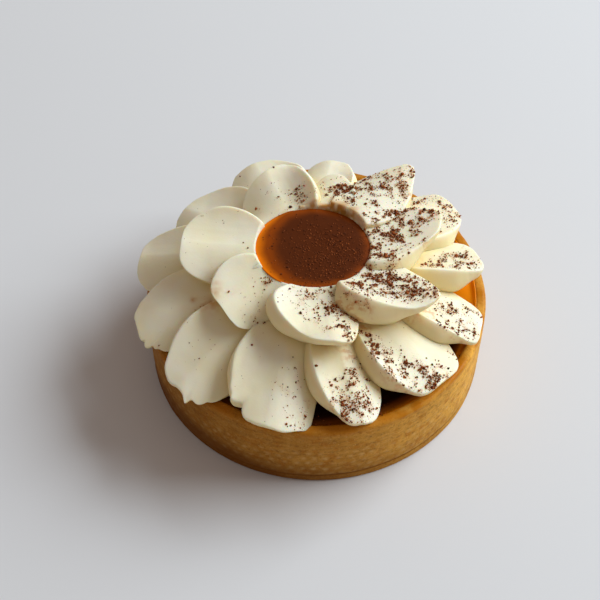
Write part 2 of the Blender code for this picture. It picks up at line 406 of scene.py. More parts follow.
class ShaderNodes(NodeGraph):
    """A material's node tree, with one short method for each kind of node that it uses."""

    def __init__(self, name: str) -> None:
        """Start a material that has a Principled shader and nothing else.

        Args:
            name: The material's name.
        """
        self.material = bpy.data.materials.new(name)
        self.material.use_nodes = True
        super().__init__(self.material.node_tree)
        self.shader = self.tree.nodes["Principled BSDF"]
        self.place = self.node("ShaderNodeTexCoord").outputs["Object"]

    def noise(self, size: float, detail: float = 2.0, roughness: float = 0.5) -> Socket:
        """Cloudy values from 0 to 1.

        Args:
            size: Distance between clouds, in millimetres.
            detail: Number of finer layers.
            roughness: Share of each finer layer.

        Returns:
            The value's output.
        """
        made = self.node("ShaderNodeTexNoise", {"Vector": self.place, "Scale": 1.0 / (size * MM),
                                                "Detail": detail, "Roughness": roughness})
        return made.outputs["Fac"]

    def cloud(self, cloud: Cloud) -> Socket:
        """Patches of one kind, from 0 to their strength."""
        noise = self.noise(cloud.size, cloud.detail, cloud.roughness)
        return self.ranged(noise, cloud.low, cloud.high, 0.0, cloud.strength)

    def dots(self, pitch: float, core: float, edge: float) -> Socket:
        """Round dots.

        Args:
            pitch: Distance between dots, in millimetres.
            core: Share of it within which a dot is whole.
            edge: Share of it where a dot ends.

        Returns:
            1 on the dots and 0 between them.
        """
        cells = self.node("ShaderNodeTexVoronoi", {"Vector": self.place, "Scale": 1.0 / (pitch * MM)})
        return self.ranged(cells.outputs["Distance"], core, edge, 1.0, 0.0)

    def attribute(self, label: str, strength: float = 1.0) -> Socket:
        """A value that the mesh carries under this name, times a strength."""
        value = self.node("ShaderNodeAttribute", attribute_name=label).outputs["Fac"]
        return value if strength == 1.0 else self.math("MULTIPLY", value, strength)

    def painted_shade_share(self, reach: float) -> Socket:
        """How shut in a place is by what stands within reach, in millimetres: 0 open, 1 shut; it lays painted
        shade.
        """
        made = self.node("ShaderNodeAmbientOcclusion", {"Distance": reach * MM}, samples=6)
        return self.math("SUBTRACT", 1.0, made.outputs["AO"])

    def ranged(self, value: Socket, low: float, high: float,
               start: float = 0.0, end: float = 1.0) -> Socket:
        """Value between low and high, as a smooth share from start to end."""
        made = self.node("ShaderNodeMapRange", {"Value": value, "From Min": low, "From Max": high,
                                                "To Min": start, "To Max": end},
                         interpolation_type="SMOOTHSTEP")
        return made.outputs["Result"]

    def mix(self, share: object, first: object, second: object) -> Socket:
        """Mix two colours.

        Args:
            share: How much of the second, as a value or link.
            first: A colour or link.
            second: A colour or link.

        Returns:
            The mixed colour's output.
        """
        made = self.node("ShaderNodeMix", {"Factor": share}, data_type="RGBA")
        for label, value in (("A", first), ("B", second)):
            self.feed(next(s for s in made.inputs if s.name == label and s.type == "RGBA"), value)
        return next(s for s in made.outputs if s.type == "RGBA")

    def layered(self, color: object, *layers: tuple[Socket, Color]) -> Socket:
        """Lay colours over one another.

        Args:
            color: The lowest one.
            layers: Each layer's share, as a link, and its colour.

        Returns:
            The colour that they make.
        """
        for share, tint in layers:
            color = self.mix(share, color, tint)
        return color

    def bump(self, height: Socket, depth: float) -> Socket:
        """Fine relief from values of 0 to 1, its depth in millimetres."""
        return self.result("ShaderNodeBump", {"Height": height, "Distance": depth * MM, "Strength": 1.0})

    def dress(self, **inputs: object) -> Finish:
        """Feed the Principled shader, with _ for a space in an input's name."""
        for label, value in inputs.items():
            self.feed(self.shader.inputs[label.replace("_", " ")], value)
        return self.material


@dataclass(frozen=True)
class CrustFinish:
    """Baked shortcrust: honey brown, mottled, paler on its pips and amber where toffee glazed it, with
    painted light on its lit right-hand front and painted shade on its left and towards the bottom.
    """

    baked: Color = (0.47, 0.195, 0.020)
    pale: Color = (0.66, 0.33, 0.065)
    # painted light: the brighter colour of the lit right-hand front of the wall
    painted_light_gold: Color = (0.86, 0.44, 0.065)
    pip: Color = (0.80, 0.52, 0.19)
    dark: Color = (0.15, 0.045, 0.004)
    amber: Color = (0.50, 0.165, 0.006)
    mottle: Cloud = Cloud(3.6, 4.0, 0.62, 0.35, 0.68, 0.6)
    blotch: Cloud = Cloud(2.4, 3.0, 0.6, 0.50, 0.66, 0.6)
    specks: Cloud = Cloud(0.7, 3.0, 0.65, 0.5, 0.7)
    crumbs: Cloud = Cloud(0.45, 2.0, 0.6, 0.58, 0.72, 0.3)
    speck_strength: float = 0.4
    pip_strength: float = 0.85
    # painted shade: how far the dark colour is laid on the shaded left and the bottom
    painted_shade_strength: float = 0.85
    dry_roughness: float = 0.62
    glazed_roughness: float = 0.25

    def build(self) -> Finish:
        """Make the material.

        Returns:
            The material.
        """
        nodes = ShaderNodes("crust")
        specks = nodes.math("MULTIPLY", nodes.cloud(self.specks), self.speck_strength)
        glaze = nodes.attribute("glaze")
        color = nodes.layered(
            self.baked,
            (nodes.cloud(self.mottle), self.pale),
            # painted light: a brighter colour on the right-hand front of the wall, where the lamp falls
            (nodes.attribute("painted_light"), self.painted_light_gold),
            (nodes.cloud(self.blotch), self.amber),
            (nodes.math("ADD", specks, nodes.attribute("streak")), self.dark),
            (nodes.cloud(self.crumbs), self.pip),
            (nodes.attribute("pip", self.pip_strength), self.pip),
            (nodes.attribute("seam"), self.dark),
            # painted shade: darker towards the bottom and on the left, away from the lamp
            (nodes.attribute("low", self.painted_shade_strength), self.dark),
            (glaze, self.amber))
        roughness = nodes.ranged(glaze, 0.0, 1.0, self.dry_roughness, self.glazed_roughness)
        grain = nodes.bump(nodes.noise(0.35, 3.0, 0.6), 0.05)
        return nodes.dress(Base_Color=color, Roughness=roughness, Normal=grain, Specular_IOR_Level=0.08)


@dataclass(frozen=True)
class CreamFinish:
    """Whipped cream: ivory, softly translucent, with vanilla specks, and tan where cocoa fell; painted shade
    makes its side walls and hollows yellower and darker, and its toffee tint is partly painted shade.
    """

    ivory: Color = (0.92, 0.86, 0.67)
    butter: Color = (0.90, 0.825, 0.58)
    # painted shade: the yellower tone of the petals' shaded side walls
    side: Color = (0.88, 0.75, 0.42)
    # painted shade: the darker yellow of hollows and places shut in by other cream
    painted_hollow_shade: Color = (0.82, 0.68, 0.34)
    vanilla: Color = (0.22, 0.15, 0.09)
    tan: Color = (0.68, 0.33, 0.10)
    # toffee stain, which also stands for painted shade on the shaded wall behind the pool and in the gap
    # under the left inner petal
    toffee: Color = (0.55, 0.24, 0.03)
    richer: Cloud = Cloud(9.0, 2.0, 0.5, 0.35, 0.7)
    speckled: Cloud = Cloud(3.1, 1.0, 0.5, 0.5, 0.56)
    powdered: Cloud = Cloud(0.8, 3.0, 0.5, 0.36, 0.62)
    powder_strength: float = 0.6
    most_powder: float = 0.55
    painted_shade_reach: float = 9.0

    def build(self) -> Finish:
        """Make the material.

        Returns:
            The material.
        """
        nodes = ShaderNodes("cream")
        specks = nodes.math("MULTIPLY", nodes.dots(2.4, 0.03, 0.055), nodes.cloud(self.speckled))
        powder = nodes.math("MULTIPLY", nodes.attribute("dusting"), nodes.cloud(self.powdered))
        powder = nodes.math("MULTIPLY", powder, self.powder_strength)
        color = nodes.layered(
            self.ivory,
            (nodes.cloud(self.richer), self.butter),
            # painted shade on the side walls
            (nodes.attribute("wall"), self.side),
            # painted shade in hollows and between petals
            (nodes.ranged(nodes.painted_shade_share(self.painted_shade_reach), 0.15, 0.75), self.painted_hollow_shade),
            (specks, self.vanilla),
            (nodes.math("MINIMUM", powder, self.most_powder), self.tan),
            # toffee stain, partly painted shade
            (nodes.attribute("smear_and_shade"), self.toffee))
        grain = nodes.bump(nodes.noise(0.5, 3.0, 0.55), 0.02)
        return nodes.dress(Base_Color=color, Roughness=0.5, Normal=grain, Specular_IOR_Level=0.35,
                           Subsurface_Weight=0.6, Subsurface_Radius=(1.0, 0.7, 0.4),
                           Subsurface_Scale=1.8 * MM)


@dataclass(frozen=True)
class ToffeeFinish:
    """Toffee and caramel: glossy, almost black where deep and amber where thin, or on the filling where light
    is painted.
    """

    name: str
    deep: Color
    middle: Color
    thin: Color
    roughness: float
    unevenness: float = 0.25

    def build(self) -> Finish:
        """Make the material.

        Returns:
            The material.
        """
        nodes = ShaderNodes(self.name)
        cloud = nodes.math("MULTIPLY", nodes.noise(4.0, 3.0), self.unevenness)
        cloud = nodes.math("SUBTRACT", cloud, self.unevenness / 2.0)
        share = nodes.math("ADD", nodes.attribute("thin"), cloud)
        color = nodes.layered(self.deep, (nodes.ranged(share, 0.0, 0.5), self.middle),
                              (nodes.ranged(share, 0.5, 1.0), self.thin))
        ripple = nodes.bump(nodes.noise(2.5, 2.0), 0.03)
        return nodes.dress(Base_Color=color, Roughness=self.roughness, Normal=ripple,
                           Specular_IOR_Level=0.12)


TOFFEE = ToffeeFinish("toffee", (0.016, 0.003, 0.001), (0.17, 0.042, 0.002), (0.82, 0.25, 0.003), 0.26)
CARAMEL = ToffeeFinish("caramel", (0.088, 0.018, 0.003), (0.27, 0.050, 0.002), (0.95, 0.22, 0.002), 0.32)


@dataclass(frozen=True)
class CocoaFinish:
    """Cocoa powder in grains: matte, from near black to reddish brown by the grain's own tone."""

    dark: Color = (0.062, 0.013, 0.003)
    red: Color = (0.36, 0.090, 0.018)

    def build(self) -> Finish:
        """Make the material.

        Returns:
            The material.
        """
        nodes = ShaderNodes("cocoa")
        color = nodes.mix(nodes.attribute("tone"), self.dark, self.red)
        return nodes.dress(Base_Color=color, Roughness=0.85, Specular_IOR_Level=0.2)


# ---- Shell ----


@dataclass
class ShortcrustShell:
    """The baked shell: its straight wall keeps the ring's row of pips and a thin seam."""

    rim_radius: float = 40.0
    base_radius: float = 39.5
    height: float = 20.0
    wall: float = 2.6
    floor: float = 3.0
    rim_round: float = 0.9
    base_round: float = 0.6
    sides: int = 700
    wall_steps: int = 74

    pip_pitch: float = 2.7
    pip_row: float = 2.2
    pip_radius: float = 0.52
    pip_height: float = 0.10
    pip_stray: float = 0.7
    pips_from: float = 3.2
    pips_fade: float = 7.0
    pips_to: float = 16.0
    seam_height: float = 2.4
    seam_sway: float = 0.25
    seam_width: float = 0.22
    seam_depth: float = 0.22
    seam_side: OneSided = OneSided(0.25, 0.75, 292.0, 40.0)
    lumps: tuple[Ripple, ...] = (Ripple(1, 7.0, 0.13), Ripple(2, 1.7, 0.04), Ripple(3, 0.45, 0.035))
    rim_sway: float = 0.22

    glazed_side: OneSided = OneSided(0.55, 0.45, 330.0, 70.0)
    # painted shade: darker on the left, away from the lamp, most towards the bottom, and a darker patch at
    # the front left
    shaded_side: OneSided = OneSided(0.35, 0.65, 225.0, 50.0)
    shaded_patch: OneSided = OneSided(0.0, 0.5, 213.0, 44.0)
    # painted light: how strongly the brighter colour is laid on the lit right-hand front
    painted_light_side: OneSided = OneSided(0.0, 1.0, 330.0, 42.0)
    streak_strength: float = 0.20

    def profile(self) -> Array:
        """Section of the shell, from the middle of its underside round to its inner floor.

        Returns:
            Rows of (radius, height).
        """
        inner = self.rim_radius - self.wall
        inner_foot = self.base_radius - self.wall
        top = self.height - self.rim_round
        foot = (self.base_radius - self.base_round, self.base_round)
        return np.concatenate([
            line((4.0, 0.0), (foot[0], 0.0), 8),
            arc(foot, self.base_round, -90.0, 0.0, 6),
            line((self.base_radius, self.base_round + 0.2), (self.rim_radius, top - 0.1), self.wall_steps),
            arc((self.rim_radius - self.rim_round, top), self.rim_round, 0.0, 90.0, 12),
            arc((inner + self.rim_round, top), self.rim_round, 90.0, 180.0, 10),
            line((inner, top - 0.2), (inner_foot, self.floor), 8),
            line((inner_foot, self.floor), (2.0, self.floor), 4),
        ])

    def pips(self, angle: Array, height: Array) -> Array:
        """Little pips that the ring's holes left, in rows, each a little astray.

        Args:
            angle: Bearings of places on the wall.
            height: Their heights.

        Returns:
            How much of a pip stands at each place, from 0 to 1.
        """
        count = round(2.0 * math.pi * self.rim_radius / self.pip_pitch)
        row = np.floor(height / self.pip_row)
        across = angle / 360.0 * count + 0.5 * (row % 2.0)
        column = np.floor(across)
        own = np.stack([column % count, row, row * 0.0], axis=-1) + 0.37
        beside = (across - column - 0.5) * self.pip_pitch + self.pip_stray * SoftNoise(15).at(own, 1.0)
        above = (height / self.pip_row - row - 0.5) * self.pip_row
        above = above + self.pip_stray * SoftNoise(16).at(own, 1.0)
        strength = np.clip(0.5 + 0.7 * SoftNoise(5).at(own, 1.0), 0.0, 1.0)
        inside = (height > self.pips_from) * ease((self.pips_to - height) / self.pips_fade)
        fine = np.stack([across * 4.0, height * 2.5, row * 0.0], axis=-1)
        ragged = 1.0 + 0.5 * SoftNoise(17).at(fine, 1.0)
        return strength * inside * bell(np.hypot(beside, above) / self.pip_radius * ragged)

    def seam(self, angle: Array, height: Array) -> Array:
        """How deep the seam is at each place, from 0 to 1; it fades away at the back."""
        course = self.seam_height + self.seam_sway * SoftNoise(8).round_at(angle, 9.0)
        return self.seam_side.at(angle) * bell((height - course) / self.seam_width)

    def build(self) -> Piece:
        """Make the shell.

        Returns:
            The shell.
        """
        rings = turned_rings(self.profile(), self.sides)
        normals = -ring_normals(rings)
        radius, angle = polar(rings)
        height = rings[..., 2]
        outer = ease((radius - self.rim_radius + self.wall) / 0.8)
        pips = self.pips(angle, height) * outer
        seam = self.seam(angle, height) * outer
        lumps = sum(ripple.at(rings) for ripple in self.lumps) * ease(height)
        relief = lumps + self.pip_height * pips - self.seam_depth * seam
        rings = rings + normals * relief[..., None]
        top = ease((height - self.height + 2.0) / 2.0)
        rings[..., 2] += top * self.rim_sway * SoftNoise(4).round_at(angle, 14.0)
        # painted shade: darker towards the bottom and on the left
        low = self.shaded_side.at(angle) * ease((10.0 - height) / 9.0) + self.shaded_patch.at(angle)
        along = np.stack([angle / 360.0 * 80.0, height / 0.55, height * 0.0], axis=-1)
        values = {
            "pip": pips,
            "seam": seam,
            "glaze": top * self.glazed_side.at(angle) * ease(0.6 + 0.5 * SoftNoise(6).at(rings, 2.5)),
            "low": low,
            "streak": self.streak_strength * ease(0.25 + 1.2 * SoftNoise(9, 80).at(along, 1.0)) * outer,
            # painted light on the lit right-hand front of the wall
            "painted_light": self.painted_light_side.at(angle) * (0.8 + 0.3 * SoftNoise(10).at(rings, 4.0)),
        }
        values = {name: np.clip(value, 0.0, 1.0) for name, value in values.items()}
        return Surface(rings, values).to_object("crust_shell", CrustFinish().build())


@dataclass
class ToffeeFilling:
    """The filling, almost level with the rim: it climbs the wall and turns amber where it is thin, and
    painted light makes it amber on the lit right-hand side.
    """

    radius: float = 37.75
    floor_radius: float = 36.9
    floor: float = 3.2
    level: float = 19.0
    climb: float = 0.75
    climb_width: float = 1.6
    amber_width: float = 4.0
    # amber of the thin edge, painted brighter on the lit right-hand front
    amber_and_light_side: OneSided = OneSided(0.62, 0.48, 350.0, 50.0)
    # painted light: the toffee on the right, where the lamp falls, made bright amber
    painted_glow_side: OneSided = OneSided(0.0, 1.0, 8.0, 24.0)
    painted_glow_from: float = 26.0
    painted_glow_width: float = 6.0
    ripples: tuple[Ripple, ...] = (Ripple(11, 5.0, 0.10), Ripple(12, 1.5, 0.03))
    sides: int = 360

    def build(self, cocoa: "CocoaSprinkle") -> Piece:
        """Make the filling.

        Args:
            cocoa: The cocoa that falls on it.

        Returns:
            The filling.
        """
        reach = np.concatenate([np.linspace(1.0, 28.0, 40), np.linspace(28.4, self.radius, 46)])
        lift = self.climb * ease((reach - self.radius + self.climb_width) / self.climb_width) ** 2
        top = np.stack([reach, self.level + lift], axis=-1)
        side = line((self.radius, self.level), (self.floor_radius, self.floor), 4)
        under = line((self.floor_radius, self.floor), (1.0, self.floor), 3)
        rings = turned_rings(np.concatenate([top, side, under]), self.sides)
        radius, angle = polar(rings)
        upper = rings[..., 2] > self.level - 0.5
        for ripple in self.ripples:
            rings[..., 2] += upper * ripple.at(rings)
        edge = ease((radius - self.radius + self.amber_width) / self.amber_width)
        # painted light on the right-hand side, and the thin edge's amber, painted brighter on the lit side
        painted_glow = self.painted_glow_side.at(angle) * ease((radius - self.painted_glow_from) / self.painted_glow_width)
        thin = np.clip(np.maximum(edge * self.amber_and_light_side.at(angle), painted_glow), 0.0, 1.0)
        values = {"thin": thin, "dusting": cocoa.amount(rings)}
        return Surface(rings, values).to_object("toffee_filling", TOFFEE.build())


# ---- Cream ----

FLOWER_X = -1.3
FLOWER_Y = 0.0


@dataclass(frozen=True)
class Frill:
    """A nick, spike or curl in a petal's margin."""

    turn: float             # where it is round the outline
    width: float            # how far it spreads, in degrees of turn
    push: float             # outwards; a negative one bites in
    lift: float = 0.0       # upwards


# keys round a petal: degrees of turn, from its inner end over its clockwise side, and a value
FREE_MARGIN = ((0.0, 0.0), (95.0, 0.25), (150.0, 1.0), (215.0, 1.0), (250.0, 0.2))
SIDE_SWELL = ((0.0, 0.1), (30.0, 0.3), (65.0, 1.0), (100.0, 1.0), (145.0, 0.1), (270.0, 0.1))
RIM_SOFTNESS = ((0.0, 0.8), (60.0, 1.0), (115.0, 0.9), (165.0, 0.3), (250.0, 0.6))


@dataclass(frozen=True)
class CreamPetal:
    """One piped petal. Its axis points away from the flower's centre at angle, measured
    counter-clockwise from +X as seen from above. The crease runs along its clockwise side.
    """

    angle: float
    reach: float
    clockwise: float
    counter: float
    rise: float = 3.0
    lip: float = 23.5
    drop: float = 5.0
    root: float = 12.0
    head: float = 31.5
    foot: float = 19.3
    foot_rise: float = 0.0
    side_tuck: float = 1.4
    tip_tuck: float = 5.0
    slant: float = 0.0
    taper: float = 0.5
    bulge: float = 1.8
    sag: float = 0.3
    droop: float = 1.5
    point: float = 0.0
    near: float = 0.75
    far: float = 0.5
    ragged: float = 0.05
    frills: tuple[Frill, ...] = ()

    widest_at: float = 0.75
    middle_at: float = 0.55
    crease_sharpness: float = 2.2
    drop_curve: float = 1.6
    drop_full_at: float = 0.6
    crease_end: float = 5.0
    inner_tuck: float = 0.6
    belly_end: float = 0.9
    least_wall: float = 1.0     # how far the foot stays under the rim
    rounding_passes: int = 6
    rounding_rings: float = 4.0
    sides: int = 250
    face_rings: int = 46
    face_spacing: float = 0.85
    wall_rings: int = 30
    wall_spacing: float = 1.25

    def outline(self, turns: Array, swell: Array | float) -> tuple[Array, Array]:
        """Outline in the petal's own plan axes.

        Args:
            turns: Degrees round it: 0 the inner end, 90 the clockwise side, 180 the outer end.
            swell: How far outside the plain outline.

        Returns:
            Distances outwards and towards the clockwise side.
        """
        across = np.sin(np.radians(turns))
        along = (1.0 - np.cos(np.radians(turns))) / 2.0
        clockwise = (self.clockwise + swell) * np.abs(across) ** self.near
        counter = -(self.counter + swell) * np.abs(across) ** self.far
        fill = np.sin(np.minimum(along / self.widest_at, 1.0) * math.pi / 2.0)
        width = np.where(across >= 0.0, clockwise, counter) * (self.taper + (1.0 - self.taper) * fill)
        width = width * (1.0 - self.point * along ** 2)
        out = self.root - swell + (self.reach - self.root + 2.0 * swell) * along
        return out + self.slant * width * along, width

    def even_turns(self) -> Array:
        """Turns that space the points of the outline evenly.

        Returns:
            Degrees round the outline.
        """
        fine = np.linspace(0.0, 360.0, 5001)
        out, side = self.outline(fine, 0.0)
        length = np.concatenate([[0.0], np.cumsum(np.hypot(np.diff(out), np.diff(side)))])
        wanted = np.linspace(0.0, length[-1], self.sides, endpoint=False)
        return np.interp(wanted, length, fine)

    def face_height(self, out: Array, side: Array) -> Array:
        """Shape the upper face: it climbs to the crease on the clockwise side and falls away on
        the other.

        Args:
            out: Distances from the flower's centre.
            side: Distances towards the clockwise side.

        Returns:
            Its height at each place.
        """
        along = np.clip((out - self.root) / (self.reach - self.root), 0.0, 1.0)
        height = self.head + (self.lip - self.head) * along ** self.droop
        height = height - self.sag * np.sin(math.pi * along)
        climb = np.clip(side / self.clockwise, 0.0, 1.3) ** self.crease_sharpness
        fall = np.clip(-side / self.counter, 0.0, 1.3) ** self.drop_curve * ease(along / self.drop_full_at)
        return height + self.rise * climb * (1.0 - along ** self.crease_end) - self.drop * fall

    def margin(self, turns: Array) -> tuple[Array, Array]:
        """Small pushes outwards and upwards that make the outer margin uneven.

        Args:
            turns: Degrees round the outline.

        Returns:
            How far the margin goes outwards, and how far upwards.
        """
        free = round_keys(turns, FREE_MARGIN)
        chance = SoftNoise(int(self.angle) + 40)
        push = self.ragged * free * (chance.round_at(turns, 34.0) + 0.7 * chance.round_at(turns, 90.0))
        push += 0.2 * free * chance.round_at(turns + 77.0, 9.0)
        lift = 0.25 * free * chance.round_at(turns + 33.0, 12.0)
        for frill in self.frills:
            spread = around(turns, frill.turn, frill.width)
            push += frill.push * spread
            lift += frill.lift * spread
        return push, lift

    def own_rings(self) -> Array:
        """Rings in the petal's own axes, from the middle of the face to the foot.

        Returns:
            An array of rings, points and out, side, height.
        """
        turns = self.even_turns()
        push, lift = self.margin(turns)
        middle_out = self.root + self.middle_at * (self.reach - self.root)
        rim_out, rim_side = self.outline(turns, push)
        share = (np.linspace(0.02, 1.0, self.face_rings) ** self.face_spacing)[:, None]
        out = middle_out + (rim_out - middle_out) * share
        side = rim_side * share
        face = np.stack([out, side, self.face_height(out, side) + lift * share ** 8], axis=-1)

        step = (np.linspace(0.0, 1.0, self.wall_rings + 1)[1:] ** self.wall_spacing)[:, None]
        belly = np.maximum(np.sin(math.pi * np.minimum(step / self.belly_end, 1.0)), 0.0)
        tuck = round_keys(turns, ((0.0, self.inner_tuck), (70.0, self.side_tuck), (105.0, self.side_tuck),
                                  (155.0, self.tip_tuck), (210.0, self.tip_tuck), (250.0, self.side_tuck)))
        swell = self.bulge * round_keys(turns, SIDE_SWELL) * belly - tuck * step ** 2 + push
        out, side = self.outline(turns + step * 0.0, swell)
        along = (out - self.root) / (self.reach - self.root)
        rim_height = face[-1, :, 2]
        foot = np.minimum(self.foot + self.foot_rise * along ** 2, rim_height - self.least_wall)
        wall = np.stack([out, side, rim_height + (foot - rim_height) * step], axis=-1)
        return self.rounded(np.concatenate([face, wall]), turns)

    def rounded(self, rings: Array, turns: Array) -> Array:
        """Round the rim, softly along the crease and crisply at the outer margin.

        Args:
            rings: The petal's rings.
            turns: Degrees round the outline.

        Returns:
            The rounded rings.
        """
        place = np.arange(len(rings))[:, None]
        band = bell((place - self.face_rings + 1) / self.rounding_rings) * round_keys(turns, RIM_SOFTNESS)
        for _ in range(self.rounding_passes):
            middle = 0.5 * (np.roll(rings, 1, axis=0) + np.roll(rings, -1, axis=0)) - rings
            middle[[0, -1]] = 0.0
            rings = rings + middle * (band * 0.6)[..., None]
        return rings

    def wall_share(self) -> Array:
        """How much each ring belongs to the wall: 0 on the face, easing to 1 under the rim."""
        return ease((np.arange(self.face_rings + self.wall_rings) - self.face_rings) / 5.0)

    def relief(self, rings: Array) -> Array:
        """Depth of the waves and the streaks that the piping left.

        Args:
            rings: The petal's rings.

        Returns:
            How far each point stands off.
        """
        seed = int(self.angle)
        waves = Ripple(seed + 100, 6.0, 0.16).at(rings) + Ripple(seed + 101, 2.2, 0.05).at(rings)
        return waves + Ripple(seed + 102, 0.9, 0.015).at(rings * np.array([0.16, 1.0, 0.5]))

    def rings(self) -> Array:
        """Rings in the tart's axes.

        Returns:
            An array of rings, points and x, y, z.
        """
        own = self.own_rings()
        own = own + ring_normals(own) * self.relief(own)[..., None]
        turn = math.radians(self.angle)
        out, side, height = own[..., 0], own[..., 1], own[..., 2]
        x = FLOWER_X + out * math.cos(turn) + side * math.sin(turn)
        y = FLOWER_Y + out * math.sin(turn) - side * math.cos(turn)
        return np.stack([x, y, height], axis=-1)


def inner_petal(angle: float, reach: float, clockwise: float, counter: float, **more: object) -> CreamPetal:
    """A petal of the upper ring, lying on the lower one and facing the pool.

    Args:
        angle: Bearing of its axis.
        reach: Its outer end, from the flower's centre.
        clockwise: Half width on the clockwise side.
        counter: Half width on the other side.
        more: Other fields of the petal.

    Returns:
        The petal.
    """
    form = dict(rise=3.2, lip=36.5, drop=4.0, root=9.0, head=36.6, foot=27.0, foot_rise=5.5,
                tip_tuck=3.6, side_tuck=2.4, taper=0.85, sag=0.6, droop=1.0)
    form.update(more)
    return CreamPetal(angle, reach, clockwise, counter, **form)


OUTER_RING = (
    CreamPetal(196, 42.2, 7.5, 9.0, ragged=0.09, frills=(
        Frill(197, 3, -0.6), Frill(204, 5, 0.2), Frill(212, 2.5, -0.5, 0.2), Frill(221, 6, -0.3))),
    CreamPetal(224, 42.5, 8.8, 9.5, ragged=0.09, frills=(
        Frill(181, 4, -0.3), Frill(188, 2.5, 0.9, -0.4), Frill(195, 4, -0.4), Frill(216, 6, -0.3, 0.2))),
    CreamPetal(255, 41.2, 10.3, 9.8, ragged=0.07, frills=(
        Frill(128, 7, 0.4, 0.3), Frill(137, 3.5, 0.8, 0.5), Frill(147, 6, -1.2, -0.2), Frill(162, 5, 0.1),
        Frill(228, 14, 1.2))),
    CreamPetal(285, 40.8, 7.8, 8.8, bulge=2.4, point=0.25),
    CreamPetal(313, 40.6, 7.9, 12.0, drop=3.0, slant=0.05, bulge=2.4, far=0.28),
    CreamPetal(340, 41.4, 5.4, 9.6, rise=3.4, drop=4.0, slant=0.15, bulge=2.6, near=0.45, far=0.38),
    CreamPetal(8, 39.6, 6.6, 7.8, lip=27.5, drop=4.0, slant=0.3, bulge=2.0, near=0.45),
    CreamPetal(34, 40.4, 10.6, 9.2, lip=27.0, near=0.6),
    CreamPetal(59, 39.6, 8.0, 8.0, lip=23.0),
    CreamPetal(82, 38.7, 6.6, 7.8, lip=24.5),
    CreamPetal(110, 39.6, 9.0, 9.2, lip=25.0),
    CreamPetal(142, 38.4, 10.0, 8.0),
    CreamPetal(168, 41.4, 7.5, 9.5),
)

INNER_RING = (
    inner_petal(175, 29.8, 9.2, 8.6),
    inner_petal(214, 25.2, 7.2, 8.6, rise=3.0, lip=34.5, far=0.3),
    inner_petal(280, 27.1, 11.3, 7.6, rise=2.8, lip=37.0, drop=3.0,
                taper=1.1, slant=-0.28, bulge=2.2, point=0.2),
    inner_petal(330, 31.2, 9.0, 7.2, rise=4.4, lip=37.0, drop=1.5, side_tuck=1.2,
                taper=1.1, slant=-0.35, bulge=3.0, point=0.3),
    inner_petal(12, 30.5, 8.4, 9.8, rise=1.6, lip=37.5, drop=1.2,
                taper=1.1, slant=-0.5, bulge=3.2, point=0.45),
    inner_petal(46, 34.8, 9.6, 10.0, rise=-2.0, lip=37.0, head=39.0,
                slant=0.1, taper=0.55, bulge=1.0, point=0.7, near=0.9),
    inner_petal(74, 24.3, 7.2, 8.0, rise=2.2, lip=36.0, head=38.0, point=0.5),
    inner_petal(112, 27.2, 7.2, 9.6, rise=3.4, lip=35.2, drop=5.5, slant=0.25, taper=1.1, near=0.6),
)


